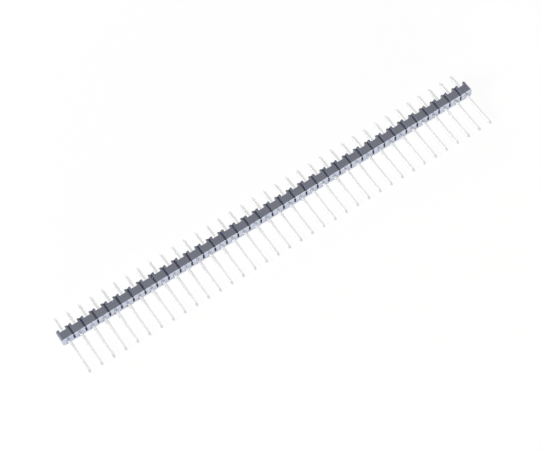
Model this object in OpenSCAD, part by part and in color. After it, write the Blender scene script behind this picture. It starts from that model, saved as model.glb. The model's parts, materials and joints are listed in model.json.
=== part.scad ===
// Single-row breakaway pin header strip.
// One moulded insulator, scored between its cells, holds a row of square posts. The long mating posts
// leave the flat mating face and the short solder tails leave between the standoff feet on the far side.
// Each piece is drawn with X along the row, Y from the mating face (y = 0) towards the tails and Z across
// the two side faces. The strip is then tipped as it comes to rest on a table: its long posts outweigh the
// insulator, so it leans on the lower edge of the mating face and on the long posts.

/* [Strip] */
// Number of positions in the row
positions = 36; // [2:1:50]
// Distance between the centres of neighbouring posts
pitch = 2.54; // [2.2:0.01:4]

/* [Insulator] */
// Width of the insulator across its side faces
body_width = 2.3; // [1.9:0.05:3.5]
// Depth of the insulator from the mating face to the floor of the wash channels
body_depth = 1.6; // [1:0.05:2.2]
// Height of the standoff feet above the floor of the wash channels
foot_height = 0.6; // [0.2:0.05:0.8]
// Width of the wash channel that crosses the tail side of each cell
channel_width = 1.27; // [0.8:0.01:1.6]

/* [Break line] */
// Width of the V groove where it opens on a side face
groove_width = 0.56; // [0.3:0.01:0.8]
// Depth of the V groove
groove_depth = 0.38; // [0.15:0.01:0.5]
// Width of the blind slot in the mating face
slot_width = 0.4; // [0.1:0.01:0.5]
// Depth of the blind slot
slot_depth = 1; // [0.1:0.05:1.2]
// Length of the pointed part at each end of the slot
slot_point = 0.06; // [0.05:0.01:0.35]
// Thickness left between a point of the slot and the bottom of a V groove
slot_bridge = 0.05; // [0.04:0.01:0.15]

/* [Posts] */
// Side of the square post
post_side = 0.64; // [0.4:0.01:0.8]
// Width cut from each side by the small bevel along a long edge of the post
post_bevel = 0.1; // [0.02:0.01:0.12]
// Length of the mating post beyond the mating face
mating_length = 8; // [7:0.1:16]
// Length of the solder tail beyond the standoff feet
tail_length = 3; // [1.6:0.1:4]
// Length of the four-sided taper at each end of a post
tip_length = 0.6; // [0.2:0.05:1.2]
// Side of the blunt square end of a post
tip_side = 0.3; // [0.1:0.01:0.35]

/* [Post passage] */
// Clearance between a post and each wall of its passage
post_clearance = 0; // [0:0.01:0.03]
// Width that the lead-in adds to each side of the passage at the mating face
lead_in_width = 0.04; // [0.02:0.01:0.2]
// Depth of the lead-in
lead_in_depth = 0.1; // [0.05:0.01:0.3]

/* [Hidden] */
// Length by which a cut runs past the face that it opens
overcut = 0.1;
insulator_colour = "#62646F";
post_colour = "#D8D9DB";

strip_length = positions * pitch;
seat_y = body_depth + foot_height;
tail_y = seat_y + tail_length;
axis_z = body_width / 2;
passage_side = post_side + 2 * post_clearance;

// Angle at which the strip leans: the shoulder or the end of the long posts' taper meets the table first.
shoulder_angle = atan((axis_z - post_side / 2) / (mating_length - tip_length));
end_angle = atan((axis_z - tip_side / 2) / mating_length);
rest_angle = min(shoulder_angle, end_angle);

// Y of the two ends of a post once the strip leans, and the shift that centres the strip between them.
front_y = -mating_length * cos(rest_angle) - (axis_z + tip_side / 2) * sin(rest_angle);
rear_y = tail_y * cos(rest_angle) - (axis_z - tip_side / 2) * sin(rest_angle);
centre_y = (front_y + rear_y) / 2;

function post_x(n) = (n - (positions + 1) / 2) * pitch;
function post_name(n) = str("pin_", n < 10 ? "0" : "", n);

// Tips its children about the lower edge of the mating face and centres them on the origin.
module at_rest() {
    translate([0, -centre_y, 0]) rotate([rest_angle, 0, 0]) children();
}

// A square bar along Y whose half-width at each Y is given by the outline's right-hand points [x, y].
module square_bar(right_side, side) {
    left_side = [for (i = [len(right_side) - 1:-1:0]) [-right_side[i].x, right_side[i].y]];
    intersection() {
        translate([0, 0, -side / 2]) linear_extrude(side) polygon(concat(right_side, left_side));
        rotate([0, 90, 0]) translate([0, 0, -side / 2]) linear_extrude(side)
            polygon(concat(right_side, left_side));
    }
}

// Plan of the insulator: a long bar whose tail side is crossed by one wash channel in each cell.
module insulator_plan() {
    difference() {
        translate([-strip_length / 2, 0]) square([strip_length, seat_y]);
        for (n = [1:positions])
            translate([post_x(n) - channel_width / 2, body_depth])
                square([channel_width, foot_height + overcut]);
    }
}

// Section across the row of one V groove, with its bottom at [0, 0] and its mouth run out past the face.
module groove_section() {
    mouth = groove_depth + overcut;
    half_mouth = groove_width / 2 * mouth / groove_depth;
    polygon([[0, 0], [half_mouth, mouth], [-half_mouth, mouth]]);
}

// V grooves across both side faces, along the line where two cells part or where the strip ends.
module groove_pair() {
    for (side = [-1, 1])
        translate([0, seat_y + overcut, axis_z + side * (axis_z - groove_depth)]) rotate([90, 0, 0])
            scale([1, side]) linear_extrude(seat_y + 2 * overcut) groove_section();
}

// Blind slot with pointed ends in the mating face, between the two V grooves of a break line.
module break_slot() {
    half_length = axis_z - groove_depth - slot_bridge;
    half_width = slot_width / 2;
    shoulder = half_length - slot_point;
    translate([0, slot_depth, axis_z]) rotate([90, 0, 0]) linear_extrude(slot_depth + overcut)
        polygon([
            [0, half_length], [-half_width, shoulder], [-half_width, -shoulder],
            [0, -half_length], [half_width, -shoulder], [half_width, shoulder]
        ]);
}

// Square passage for one post, flared at the mating face where the post is pushed in.
module post_passage() {
    half = passage_side / 2;
    flare = lead_in_width / lead_in_depth;
    mouth = half + lead_in_width + flare * overcut;
    translate([0, 0, axis_z])
        square_bar([
            [mouth, -overcut], [half, lead_in_depth], [half, body_depth + overcut]
        ], 2 * mouth);
}

module insulator() {
    color(insulator_colour) at_rest() difference() {
        linear_extrude(body_width) insulator_plan();
        for (n = [0:positions]) translate([post_x(n + 0.5), 0, 0]) groove_pair();
        for (n = [1:positions - 1]) translate([post_x(n + 0.5), 0, 0]) break_slot();
        for (n = [1:positions]) translate([post_x(n), 0, 0]) post_passage();
    }
}

// Bar turned by 45 degrees about Y, whose four faces bevel the long edges of a post.
module edge_bevels() {
    side = sqrt(2) * (post_side - post_bevel);
    length = mating_length + tail_y + 2 * overcut;
    rotate([0, 45, 0]) translate([-side / 2, -mating_length - overcut, -side / 2])
        cube([side, length, side]);
}

module post(n) {
    half = post_side / 2;
    half_tip = tip_side / 2;
    color(post_colour) at_rest() translate([post_x(n), 0, axis_z]) intersection() {
        square_bar([
            [half_tip, -mating_length], [half, tip_length - mating_length],
            [half, tail_y - tip_length], [half_tip, tail_y]
        ], post_side);
        edge_bevels();
    }
}

insulator();
for (n = [1:positions]) post(n);
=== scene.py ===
"""Looks of a single-row breakaway pin header strip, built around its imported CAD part.

The CAD part holds every shape: one moulded insulator, scored between its cells, and a row of
square posts. This script gives the moulding and the posts their finishes, and sets the strip on a
plain floor.
"""

import json
import logging
import math
from dataclasses import dataclass, field

import bpy
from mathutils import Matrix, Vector


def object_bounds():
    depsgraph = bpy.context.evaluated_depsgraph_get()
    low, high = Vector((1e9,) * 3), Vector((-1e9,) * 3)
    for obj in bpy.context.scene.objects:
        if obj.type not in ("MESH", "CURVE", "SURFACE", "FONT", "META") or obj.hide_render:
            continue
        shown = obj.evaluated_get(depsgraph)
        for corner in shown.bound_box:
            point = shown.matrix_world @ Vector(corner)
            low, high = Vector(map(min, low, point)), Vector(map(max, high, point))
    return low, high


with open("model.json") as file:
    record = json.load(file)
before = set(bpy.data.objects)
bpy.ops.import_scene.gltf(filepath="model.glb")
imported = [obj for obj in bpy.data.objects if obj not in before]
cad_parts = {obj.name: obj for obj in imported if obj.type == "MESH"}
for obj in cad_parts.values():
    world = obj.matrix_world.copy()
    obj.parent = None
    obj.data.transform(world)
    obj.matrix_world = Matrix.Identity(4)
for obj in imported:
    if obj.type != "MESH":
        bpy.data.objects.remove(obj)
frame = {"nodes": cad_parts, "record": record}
CAD_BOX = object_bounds()

LOG = logging.getLogger("pin_header_strip")
MM = 0.001
UP = Vector((0.0, 0.0, 1.0))

Triple = tuple[float, float, float]
Span = tuple[float, float]

WHITE: Triple = (1.0, 1.0, 1.0)
WARM_WHITE: Triple = (1.0, 0.95, 0.79)

# The stretch of a texture whose features are as long as they are wide.
NO_STRETCH: Triple = (1.0, 1.0, 1.0)
PATCH_DETAIL = 2.0

# The middle bands of the noises that the groups spread over 0 to 1.
PATCH_BAND: Span = (0.34, 0.66)
HEIGHT_BAND: Span = (0.3, 0.7)
POLISH_BAND: Span = (0.35, 0.65)


@dataclass(frozen=True)
class Grain:
    """A fine surface texture.

    Attributes:
        name: The name of the node group that makes it.
        stretch: How closely the grain repeats along each of the strip's axes.
        detail: How many finer layers the grain holds.
        polish_stretch: How closely the changes in polish repeat along each of those axes.
        polish_detail: How many finer layers the changes in polish hold.
        polish_size: How many grains wide a change in polish is.
    """

    name: str
    stretch: Triple
    detail: float
    polish_stretch: Triple
    polish_detail: float
    polish_size: float


# The even grain that a spark-finished mould leaves.
MOULDED = Grain(
    name="moulded_grain",
    stretch=NO_STRETCH,
    detail=3.0,
    polish_stretch=NO_STRETCH,
    polish_detail=2.0,
    polish_size=9.0,
)

# The long lines of drawn wire under its plating.
DRAWN = Grain(
    name="drawn_grain",
    stretch=(1.0, 0.04, 1.0),
    detail=2.0,
    polish_stretch=(1.0, 0.3, 1.0),
    polish_detail=3.0,
    polish_size=12.0,
)


@dataclass(frozen=True)
class Finish:
    """One surface finish of the strip.

    Attributes:
        name: The material's name.
        colour: The main colour, linear RGB.
        second_colour: The colour that the first drifts towards in soft patches, linear RGB.
        metallic: 1 for a metal, 0 for a plastic.
        roughness: The lowest and the highest roughness over the surface.
        grain: Which fine texture the surface has.
        grain_size: The size of one grain, in millimetres.
        grain_height: How far the grain stands proud, in millimetres.
        patch_size: The size of one soft patch of colour, in millimetres.
        ior: The index of refraction under the surface.
        coat: The weight of the smooth skin on top.
        coat_roughness: The roughness of that skin.
        coat_ior: The index of refraction of that skin.
        painted_shade: The part of the colour taken away by painted shade where it is deepest,
            standing in for the insulator's shadow on the posts' tails.
        painted_shade_span: Where the painted shade starts and where it is complete, as places
            along the strip's own Y from the origin, in millimetres.
    """

    name: str
    colour: Triple
    second_colour: Triple
    metallic: float
    roughness: Span
    grain: Grain
    grain_size: float
    grain_height: float
    patch_size: float
    ior: float = 1.5
    coat: float = 0.0
    coat_roughness: float = 0.1
    coat_ior: float = 1.5
    painted_shade: float = 0.0
    painted_shade_span: Span = (0.0, 1.0)


MOULDING = Finish(
    name="moulded_insulator",
    colour=(0.145, 0.167, 0.252),
    second_colour=(0.165, 0.183, 0.266),
    metallic=0.0,
    roughness=(0.08, 0.16),
    grain=MOULDED,
    grain_size=0.06,
    grain_height=0.0012,
    patch_size=3.5,
    coat=1.0,
    coat_roughness=0.04,
    coat_ior=1.55,
)

PLATING = Finish(
    name="tin_plating",
    colour=(0.950, 0.952, 0.955),
    second_colour=(0.900, 0.903, 0.908),
    metallic=1.0,
    roughness=(0.22, 0.34),
    grain=DRAWN,
    grain_size=0.05,
    grain_height=0.0004,
    patch_size=1.6,
    # Painted shade: the plating darkens towards the tails, standing in for the insulator's shadow
    # on them.
    painted_shade=0.10,
    painted_shade_span=(-1.8, 3.3),
)


class EffectGroups:
    """The shader node groups that the finishes share.

    Each group is built once and is placed with its own values.
    """

    def __init__(self, lean: float) -> None:
        """Sets up the groups for a strip that leans.

        Args:
            lean: The angle by which the strip leans about X, in radians.
        """
        self.lean = lean
        self.made: dict[str, bpy.types.NodeTree] = {}

    def _start(
        self, name: str, inputs: dict[str, float], outputs: tuple[str, ...]
    ) -> tuple[bpy.types.NodeTree, bpy.types.Node, bpy.types.Node]:
        """Starts a group with number sockets.

        Args:
            name: The group's name.
            inputs: The input sockets, each with its default.
            outputs: The output sockets.

        Returns:
            The group, its input node and its output node.
        """
        tree = bpy.data.node_groups.new(name, "ShaderNodeTree")
        for socket_name, default in inputs.items():
            socket = tree.interface.new_socket(
                name=socket_name, in_out="INPUT", socket_type="NodeSocketFloat"
            )
            socket.default_value = default
        for socket_name in outputs:
            tree.interface.new_socket(
                name=socket_name, in_out="OUTPUT", socket_type="NodeSocketFloat"
            )
        entry = tree.nodes.new("NodeGroupInput")
        leave = tree.nodes.new("NodeGroupOutput")
        return tree, entry, leave

    def _strip_position(
        self, tree: bpy.types.NodeTree, stretch: Triple
    ) -> bpy.types.NodeSocket:
        """Adds nodes that give the place on the strip, in millimetres along its own axes.

        Args:
            tree: The group that the nodes go in.
            stretch: How closely the texture repeats along each of the strip's axes.

        Returns:
            The socket that holds the place.
        """
        place = tree.nodes.new("ShaderNodeTexCoord")
        level = tree.nodes.new("ShaderNodeMapping")
        level.inputs["Rotation"].default_value = (-self.lean, 0.0, 0.0)
        scale = tree.nodes.new("ShaderNodeMapping")
        scale.inputs["Scale"].default_value = tuple(s / MM for s in stretch)
        tree.links.new(place.outputs["Object"], level.inputs["Vector"])
        tree.links.new(level.outputs["Vector"], scale.inputs["Vector"])
        return scale.outputs["Vector"]

    def _noise(
        self,
        tree: bpy.types.NodeTree,
        place: bpy.types.NodeSocket,
        size: bpy.types.NodeSocket,
        detail: float,
    ) -> bpy.types.NodeSocket:
        """Adds noise whose features have a size given in millimetres.

        Args:
            tree: The group that the nodes go in.
            place: The place on the strip, in millimetres.
            size: The size of one feature, in millimetres.
            detail: How many finer layers the noise holds.

        Returns:
            The socket that holds the noise, from 0 to 1.
        """
        inverse = tree.nodes.new("ShaderNodeMath")
        inverse.operation = "DIVIDE"
        inverse.inputs[0].default_value = 1.0
        tree.links.new(size, inverse.inputs[1])
        noise = tree.nodes.new("ShaderNodeTexNoise")
        noise.inputs["Detail"].default_value = detail
        tree.links.new(place, noise.inputs["Vector"])
        tree.links.new(inverse.outputs["Value"], noise.inputs["Scale"])
        return noise.outputs["Fac"]

    def _spread(
        self, tree: bpy.types.NodeTree, value: bpy.types.NodeSocket, band: Span
    ) -> bpy.types.NodeSocket:
        """Adds a node that spreads a band of a value over 0 to 1, with soft ends.

        Args:
            tree: The group that the node goes in.
            value: The value to spread.
            band: The value that becomes 0 and the value that becomes 1.

        Returns:
            The socket that holds the spread value.
        """
        node = tree.nodes.new("ShaderNodeMapRange")
        node.interpolation_type = "SMOOTHSTEP"
        node.inputs["From Min"].default_value = band[0]
        node.inputs["From Max"].default_value = band[1]
        tree.links.new(value, node.inputs["Value"])
        return node.outputs["Result"]

    def soft_patches(self) -> bpy.types.NodeTree:
        """Makes the group that gives broad, soft patches along the strip.

        Returns:
            The group, with input Size and output Mask.
        """
        if "soft_patches" not in self.made:
            tree, entry, leave = self._start("soft_patches", {"Size": 3.0}, ("Mask",))
            place = self._strip_position(tree, NO_STRETCH)
            noise = self._noise(tree, place, entry.outputs["Size"], PATCH_DETAIL)
            tree.links.new(self._spread(tree, noise, PATCH_BAND), leave.inputs["Mask"])
            self.made["soft_patches"] = tree
        return self.made["soft_patches"]

    def grain(self, grain: Grain) -> bpy.types.NodeTree:
        """Makes the group that gives a fine texture.

        Args:
            grain: The texture.

        Returns:
            The group, with input Size and outputs Height and Polish.
        """
        if grain.name not in self.made:
            tree, entry, leave = self._start(grain.name, {"Size": 0.05}, ("Height", "Polish"))
            size = entry.outputs["Size"]
            place = self._strip_position(tree, grain.stretch)
            height = self._noise(tree, place, size, grain.detail)
            coarse = tree.nodes.new("ShaderNodeMath")
            coarse.operation = "MULTIPLY"
            coarse.inputs[1].default_value = grain.polish_size
            tree.links.new(size, coarse.inputs[0])
            place = self._strip_position(tree, grain.polish_stretch)
            polish = self._noise(tree, place, coarse.outputs["Value"], grain.polish_detail)
            tree.links.new(self._spread(tree, height, HEIGHT_BAND), leave.inputs["Height"])
            tree.links.new(self._spread(tree, polish, POLISH_BAND), leave.inputs["Polish"])
            self.made[grain.name] = tree
        return self.made[grain.name]

    def span_along_strip(self) -> bpy.types.NodeTree:
        """Makes the group that rises from 0 to 1 between two places along the strip's own Y.

        Returns:
            The group, with inputs Start and End in millimetres and output Mask.
        """
        if "span_along_strip" not in self.made:
            tree, entry, leave = self._start(
                "span_along_strip", {"Start": 0.0, "End": 1.0}, ("Mask",)
            )
            place = tree.nodes.new("ShaderNodeSeparateXYZ")
            rise = tree.nodes.new("ShaderNodeMapRange")
            tree.links.new(self._strip_position(tree, NO_STRETCH), place.inputs["Vector"])
            tree.links.new(place.outputs["Y"], rise.inputs["Value"])
            tree.links.new(entry.outputs["Start"], rise.inputs["From Min"])
            tree.links.new(entry.outputs["End"], rise.inputs["From Max"])
            tree.links.new(rise.outputs["Result"], leave.inputs["Mask"])
            self.made["span_along_strip"] = tree
        return self.made["span_along_strip"]


class FinishBuilder:
    """Turns finishes into materials."""

    def __init__(self, groups: EffectGroups) -> None:
        """Keeps the groups that the materials share.

        Args:
            groups: The shared shader node groups.
        """
        self.groups = groups

    def _place(
        self, tree: bpy.types.NodeTree, group: bpy.types.NodeTree, values: dict[str, float]
    ) -> bpy.types.Node:
        """Places a shared group in a material with its own values.

        Args:
            tree: The material's node tree.
            group: The shared group.
            values: The values of the group's inputs.

        Returns:
            The group's node.
        """
        node = tree.nodes.new("ShaderNodeGroup")
        node.node_tree = group
        for name, value in values.items():
            node.inputs[name].default_value = value
        return node

    def _colour(self, tree: bpy.types.NodeTree, finish: Finish) -> bpy.types.NodeSocket:
        """Adds the two colours in soft patches, and painted shade along the strip where asked.

        Args:
            tree: The material's node tree.
            finish: The finish.

        Returns:
            The socket that holds the colour.
        """
        patches = self._place(tree, self.groups.soft_patches(), {"Size": finish.patch_size})
        colour = tree.nodes.new("ShaderNodeMix")
        colour.data_type = "RGBA"
        colour.inputs["A"].default_value = (*finish.colour, 1.0)
        colour.inputs["B"].default_value = (*finish.second_colour, 1.0)
        tree.links.new(patches.outputs["Mask"], colour.inputs["Factor"])
        if not finish.painted_shade:
            return colour.outputs["Result"]

        # Painted shade: the colour darkens along the strip's Y towards the tails, as the
        # insulator's shadow.
        start, end = finish.painted_shade_span
        span = self._place(tree, self.groups.span_along_strip(), {"Start": start, "End": end})
        tone = tree.nodes.new("ShaderNodeMapRange")
        tone.inputs["To Min"].default_value = 1.0
        tone.inputs["To Max"].default_value = 1.0 - finish.painted_shade
        tree.links.new(span.outputs["Mask"], tone.inputs["Value"])
        toned = tree.nodes.new("ShaderNodeVectorMath")
        toned.operation = "SCALE"
        tree.links.new(colour.outputs["Result"], toned.inputs[0])
        tree.links.new(tone.outputs["Result"], toned.inputs["Scale"])
        return toned.outputs["Vector"]

    def _texture(
        self, tree: bpy.types.NodeTree, finish: Finish
    ) -> tuple[bpy.types.NodeSocket, bpy.types.NodeSocket]:
        """Adds the finish's fine texture.

        Args:
            tree: The material's node tree.
            finish: The finish.

        Returns:
            The socket that holds the roughness, and the one that holds the normal.
        """
        grain = self._place(tree, self.groups.grain(finish.grain), {"Size": finish.grain_size})
        roughness = tree.nodes.new("ShaderNodeMapRange")
        roughness.inputs["To Min"].default_value = finish.roughness[0]
        roughness.inputs["To Max"].default_value = finish.roughness[1]
        tree.links.new(grain.outputs["Polish"], roughness.inputs["Value"])
        bump = tree.nodes.new("ShaderNodeBump")
        bump.inputs["Strength"].default_value = 1.0
        bump.inputs["Distance"].default_value = finish.grain_height * MM
        tree.links.new(grain.outputs["Height"], bump.inputs["Height"])
        return roughness.outputs["Result"], bump.outputs["Normal"]

    def build(self, finish: Finish) -> bpy.types.Material:
        """Makes the material of a finish.

        Args:
            finish: The finish to make.

        Returns:
            The material.
        """
        material = bpy.data.materials.new(finish.name)
        material.use_nodes = True
        tree = material.node_tree
        shader = tree.nodes["Principled BSDF"]
        shader.inputs["Metallic"].default_value = finish.metallic
        shader.inputs["IOR"].default_value = finish.ior
        shader.inputs["Coat Weight"].default_value = finish.coat
        shader.inputs["Coat Roughness"].default_value = finish.coat_roughness
        shader.inputs["Coat IOR"].default_value = finish.coat_ior
        roughness, normal = self._texture(tree, finish)
        tree.links.new(self._colour(tree, finish), shader.inputs["Base Color"])
        tree.links.new(roughness, shader.inputs["Roughness"])
        tree.links.new(normal, shader.inputs["Normal"])
        return material


def dress(node: str, material: bpy.types.Material) -> None:
    """Gives a CAD node one material on all its slots.

    Args:
        node: The node's name.
        material: The material.
    """
    piece = frame["nodes"][node]
    if not piece.material_slots:
        piece.data.materials.append(material)
    for slot in piece.material_slots:
        slot.material = material


@dataclass
class Insulator:
    """The moulded insulator that holds the posts."""

    node: str = "insulator"
    finish: Finish = MOULDING

    def dress(self, builder: FinishBuilder) -> None:
        """Gives the insulator its moulded finish.

        Args:
            builder: What turns finishes into materials.
        """
        dress(self.node, builder.build(self.finish))
        LOG.info("%s: %s", self.node, self.finish.name)


@dataclass
class PostRow:
    """The row of plated square posts."""

    prefix: str = "pin_"
    finish: Finish = PLATING

    def nodes(self) -> list[str]:
        """Returns the names of the posts' CAD nodes, in order."""
        return sorted(name for name in frame["nodes"] if name.startswith(self.prefix))

    def dress(self, builder: FinishBuilder) -> None:
        """Gives every post the same plated finish.

        Args:
            builder: What turns finishes into materials.
        """
        material = builder.build(self.finish)
        for node in self.nodes():
            dress(node, material)
            LOG.info("%s: %s", node, self.finish.name)


@dataclass(frozen=True)
class Softbox:
    """A soft lamp that looks at the strip.

    Attributes:
        name: The lamp's name.
        azimuth: Where it stands round the strip, in degrees, with 0 in front of the mating posts.
        elevation: How high it stands, in degrees.
        distance: How far it stands from the strip, in metres.
        width: Its width, in metres.
        height: Its height, in metres.
        power: Its power, in watts.
        colour: Its colour.
    """

    name: str
    azimuth: float
    elevation: float
    distance: float
    width: float
    height: float
    power: float
    colour: Triple = WHITE

    def build(self, target: Vector) -> None:
        """Makes the lamp.

        Args:
            target: The point that the lamp looks at.
        """
        data = bpy.data.lights.new(self.name, "AREA")
        data.shape = "RECTANGLE"
        data.size = self.width
        data.size_y = self.height
        data.energy = self.power
        data.color = self.colour
        lamp = bpy.data.objects.new(self.name, data)
        bpy.context.scene.collection.objects.link(lamp)
        outwards = direction(self.azimuth, self.elevation)
        lamp.location = target + outwards * self.distance
        lamp.rotation_euler = outwards.to_track_quat("Z", "Y").to_euler()


@dataclass(frozen=True)
class Viewpoint:
    """Where the camera stands.

    Attributes:
        azimuth: Its place round the strip, in degrees, with 0 in front of the mating posts.
        elevation: Its height above the floor, in degrees.
        roll: How far it is rolled about its own line of sight, in degrees.
        distance: Its distance from the point that it looks at, in millimetres.
        aim: The point that it looks at, from the middle of the strip's footprint, in millimetres.
        lens: Its focal length on a 36 mm frame, in millimetres.
        sight: The nearest and the farthest distance that it sees, in metres.
    """

    azimuth: float = -21.578
    elevation: float = 55.160
    roll: float = -13.687
    distance: float = 353.67
    aim: Triple = (-1.722, -0.412, 1.25)
    lens: float = 127.20
    sight: Span = (0.01, 20.0)

    def build(self, centre: Vector) -> None:
        """Makes the camera and gives it to the scene.

        Args:
            centre: The middle of the strip's footprint.
        """
        data = bpy.data.cameras.new("camera")
        data.lens = self.lens
        data.clip_start, data.clip_end = self.sight
        camera = bpy.data.objects.new("camera", data)
        bpy.context.scene.collection.objects.link(camera)
        outwards = direction(self.azimuth, self.elevation)
        camera.location = centre + Vector(self.aim) * MM + outwards * self.distance * MM
        camera.rotation_euler = outwards.to_track_quat("Z", "Y").to_euler()
        camera.rotation_euler.rotate_axis("Z", math.radians(self.roll))
        bpy.context.scene.camera = camera


def direction(azimuth: float, elevation: float) -> Vector:
    """Returns the direction out from the strip towards a place round it.

    Args:
        azimuth: The place round the strip, in degrees, with 0 in front of the mating posts.
        elevation: The height above the floor, in degrees.

    Returns:
        A vector of length 1.
    """
    a = math.radians(azimuth)
    e = math.radians(elevation)
    return Vector((math.sin(a) * math.cos(e), -math.cos(a) * math.cos(e), math.sin(e)))


@dataclass
class Studio:
    """A plain pale floor in a soft white tent that is open on one side.

    Attributes:
        floor_side: The length of the floor's side, in metres.
        floor_colour: The floor's grey.
        floor_level: How bright the lamps and the sky make the open floor, where 1 is white.
        shadow_share: The part of the floor's brightness that its shadows can take away.
        contact_shade: The part of the rest that the floor loses where the strip closes it in.
        contact_reach: How far from the strip that shade reaches, in millimetres.
        contact_limit: The share of the sky that a place must see to keep clear of that shade.
        sky_strength: The strength of the light that comes from all over the tent.
        roof_shade: The brightness of the tent's roof in reflections, where 1 is white.
        roof_angles: The elevations at which the tent's walls start to turn into its roof and at
            which they have done so, in degrees.
        opening_shade: The brightness of the tent's open side in reflections, where 1 is white.
        opening_place: The azimuth and the elevation of the middle of the open side, in degrees.
        opening_angles: The angles from the middle of the open side at which it starts to fade into
            the tent and at which it has gone, in degrees.
        viewpoint: Where the camera stands.
        softboxes: The lamps.
    """

    floor_side: float = 3.0
    floor_colour: float = 0.9
    floor_level: float = 0.35
    shadow_share: float = 0.16
    contact_shade: float = 0.6
    contact_reach: float = 0.8
    contact_limit: float = 0.62
    sky_strength: float = 0.05
    roof_shade: float = 0.90
    roof_angles: Span = (14.0, 30.0)
    opening_shade: float = 0.05
    opening_place: Span = (10.0, 42.0)
    opening_angles: Span = (24.0, 34.0)
    viewpoint: Viewpoint = field(default_factory=Viewpoint)
    softboxes: tuple[Softbox, ...] = (
        Softbox(
            "low_softbox", azimuth=-1.5, elevation=1.5, distance=0.9,
            width=0.06, height=0.04, power=18.0, colour=WARM_WHITE,
        ),
        Softbox(
            "fill_softbox", azimuth=-32.0, elevation=3.0, distance=0.9,
            width=0.3, height=0.08, power=4.5, colour=WARM_WHITE,
        ),
        Softbox(
            "side_softbox", azimuth=-90.0, elevation=20.0, distance=1.0,
            width=0.5, height=0.3, power=6.0,
        ),
        Softbox(
            "back_softbox", azimuth=180.0, elevation=7.0, distance=0.9,
            width=0.8, height=0.16, power=5.0,
        ),
    )

    def rays_that_show(
        self, tree: bpy.types.NodeTree
    ) -> tuple[bpy.types.NodeSocket, bpy.types.NodeSocket]:
        """Adds nodes that tell the rays that show a surface from the rays that light one.

        Args:
            tree: The node tree that they go in.

        Returns:
            The socket that holds 1 for camera rays, and the one that holds 1 for mirror and
            glass rays.
        """
        rays = tree.nodes.new("ShaderNodeLightPath")
        mirror = tree.nodes.new("ShaderNodeMath")
        mirror.operation = "MAXIMUM"
        tree.links.new(rays.outputs["Is Glossy Ray"], mirror.inputs[0])
        tree.links.new(rays.outputs["Is Transmission Ray"], mirror.inputs[1])
        return rays.outputs["Is Camera Ray"], mirror.outputs["Value"]

    def floor_material(self) -> bpy.types.Material:
        """Makes the floor's sheet.

        Mirror rays see it plain white. Camera rays see a white of its own that dims close to the
        strip in a painted contact shadow, mixed with a share of the lit sheet, which holds the
        shadows. Other rays see the lit sheet.

        Returns:
            The material.
        """
        material = bpy.data.materials.new("pale_floor")
        material.use_nodes = True
        tree = material.node_tree
        tree.nodes.clear()
        paper = tree.nodes.new("ShaderNodeBsdfDiffuse")
        paper.inputs["Color"].default_value = (*[self.floor_colour] * 3, 1.0)
        camera, mirror = self.rays_that_show(tree)
        white_share = 1.0 - self.shadow_share
        share = tree.nodes.new("ShaderNodeMath")
        share.operation = "MULTIPLY"
        share.inputs[1].default_value = white_share
        tree.links.new(camera, share.inputs[0])

        # The brightness at which the open floor adds up to 1 with its share of the lit sheet.
        open_white = (1.0 - self.shadow_share * self.floor_level) / white_share
        # Painted contact shadow: the floor's own white dims where the strip closes it in.
        closed_in = tree.nodes.new("ShaderNodeAmbientOcclusion")
        closed_in.inputs["Distance"].default_value = self.contact_reach * MM
        contact = tree.nodes.new("ShaderNodeMapRange")
        contact.inputs["From Max"].default_value = self.contact_limit
        contact.inputs["To Min"].default_value = (1.0 - self.contact_shade) * open_white
        contact.inputs["To Max"].default_value = open_white
        tree.links.new(closed_in.outputs["AO"], contact.inputs["Value"])
        seen = tree.nodes.new("ShaderNodeEmission")
        tree.links.new(contact.outputs["Result"], seen.inputs["Strength"])
        mirrored = tree.nodes.new("ShaderNodeEmission")

        look = paper.outputs["BSDF"]
        for glow, amount in ((seen, share.outputs["Value"]), (mirrored, mirror)):
            mix = tree.nodes.new("ShaderNodeMixShader")
            tree.links.new(amount, mix.inputs["Fac"])
            tree.links.new(look, mix.inputs[1])
            tree.links.new(glow.outputs["Emission"], mix.inputs[2])
            look = mix.outputs["Shader"]
        out = tree.nodes.new("ShaderNodeOutputMaterial")
        tree.links.new(look, out.inputs["Surface"])
        return material

    def build_floor(self) -> None:
        """Makes the floor: a pale sheet that shows white and keeps a faint shadow."""
        half = self.floor_side / 2
        mesh = bpy.data.meshes.new("floor")
        corners = [(-half, -half, 0.0), (half, -half, 0.0), (half, half, 0.0), (-half, half, 0.0)]
        mesh.from_pydata(corners, [], [(0, 1, 2, 3)])
        floor = bpy.data.objects.new("floor", mesh)
        bpy.context.scene.collection.objects.link(floor)
        mesh.materials.append(self.floor_material())

    def fade(
        self,
        tree: bpy.types.NodeTree,
        towards: Vector,
        angles: Span,
        shade: float,
    ) -> bpy.types.NodeSocket:
        """Adds nodes that darken the tent round one direction.

        Args:
            tree: The world's node tree.
            towards: The direction of the middle of the darker part.
            angles: The angles from that direction within which the tent is dark and beyond which it
                is white, in degrees.
            shade: The brightness of the darker part, where 1 is white.

        Returns:
            The socket that holds the brightness.
        """
        place = tree.nodes.new("ShaderNodeTexCoord")
        facing = tree.nodes.new("ShaderNodeVectorMath")
        facing.operation = "DOT_PRODUCT"
        facing.inputs[1].default_value = towards
        inner, outer = angles
        look = tree.nodes.new("ShaderNodeMapRange")
        look.interpolation_type = "SMOOTHSTEP"
        look.inputs["From Min"].default_value = math.cos(math.radians(outer))
        look.inputs["From Max"].default_value = math.cos(math.radians(inner))
        look.inputs["To Min"].default_value = 1.0
        look.inputs["To Max"].default_value = shade
        tree.links.new(place.outputs["Generated"], facing.inputs[0])
        tree.links.new(facing.outputs["Value"], look.inputs["Value"])
        return look.outputs["Result"]

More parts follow.
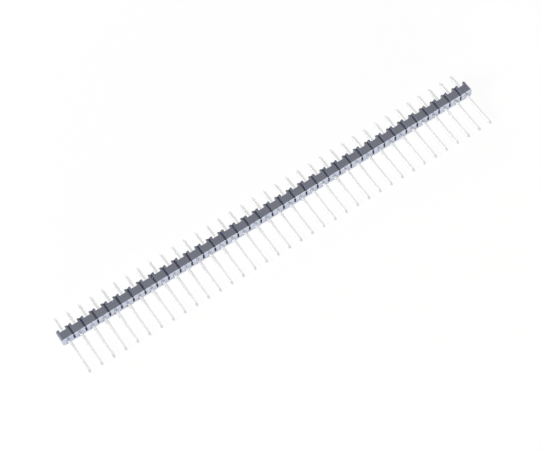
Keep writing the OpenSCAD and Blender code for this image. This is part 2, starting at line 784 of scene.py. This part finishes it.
    def build_world(self) -> None:
        """Makes the tent: an even soft light that shows white.

        Reflections show its roof a little darker than its walls, and its open side dark.
        """
        world = bpy.data.worlds.new("soft_tent")
        world.use_nodes = True
        tree = world.node_tree
        sky = tree.nodes["Background"]
        sky.inputs["Color"].default_value = (*WHITE, 1.0)
        camera, mirror = self.rays_that_show(tree)
        seen = tree.nodes.new("ShaderNodeMapRange")
        seen.inputs["To Min"].default_value = self.sky_strength
        seen.inputs["To Max"].default_value = 1.0
        tree.links.new(camera, seen.inputs["Value"])
        strength = tree.nodes.new("ShaderNodeMapRange")
        tree.links.new(mirror, strength.inputs["Value"])
        tree.links.new(seen.outputs["Result"], strength.inputs["To Min"])
        walls_end, roof_starts = self.roof_angles
        roof = self.fade(tree, UP, (90.0 - roof_starts, 90.0 - walls_end), self.roof_shade)
        opening = self.fade(
            tree, direction(*self.opening_place), self.opening_angles, self.opening_shade
        )
        tent = tree.nodes.new("ShaderNodeMath")
        tent.operation = "MULTIPLY"
        tree.links.new(roof, tent.inputs[0])
        tree.links.new(opening, tent.inputs[1])
        tree.links.new(tent.outputs["Value"], strength.inputs["To Max"])
        tree.links.new(strength.outputs["Result"], sky.inputs["Strength"])
        bpy.context.scene.world = world

    def build(self) -> None:
        """Makes the floor, the tent, the lamps and the camera."""
        low, high = CAD_BOX
        centre = Vector(((low[0] + high[0]) / 2, (low[1] + high[1]) / 2, low[2]))
        self.build_floor()
        self.build_world()
        for softbox in self.softboxes:
            softbox.build(centre)
        self.viewpoint.build(centre)
        bpy.context.scene.view_settings.view_transform = "Standard"


def lean_of_strip() -> float:
    """Returns the angle by which the strip leans about X, in radians, read off its board seat."""
    mounts = {mount["name"]: mount for mount in frame["record"]["mounts"]}
    axis = mounts["board_seat"]["axis"]
    return math.atan2(axis[2], axis[1])


def main() -> None:
    """Dresses the strip and builds the studio round it."""
    logging.basicConfig(level=logging.INFO, format="%(name)s: %(message)s")
    builder = FinishBuilder(EffectGroups(lean_of_strip()))
    Insulator().dress(builder)
    PostRow().dress(builder)
    Studio().build()


if __name__ == "__main__":
    main()
